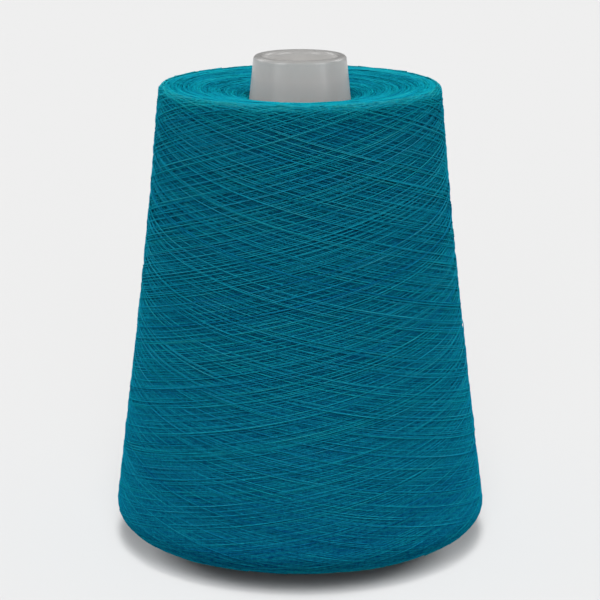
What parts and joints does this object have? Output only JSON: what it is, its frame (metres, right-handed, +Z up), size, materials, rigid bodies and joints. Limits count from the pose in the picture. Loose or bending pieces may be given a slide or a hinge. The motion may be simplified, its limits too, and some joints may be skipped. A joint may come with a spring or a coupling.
{
  "type": "yarn cone",
  "caption": "Cone of fine machine-knitting yarn: thread cross-wound in a tapered package on a hollow plastic winding cone with a rounded, open nose.",
  "frame": {"origin": "on the cone's axis, at the plane its base rim stands on", "axes": "+Z up along the cone's axis, from the wide base to the narrow nose; the part is round about +Z"},
  "size_m": [0.13, 0.13, 0.17],
  "materials": {
    "cone_plastic": "satin, slightly translucent grey moulded plastic",
    "yarn": "fine spun yarn, cross-wound, teal"
  },
  "bodies": {
    "root": {"winding_cone": "cone_plastic", "yarn_package": "yarn"}
  },
  "joints": []
}
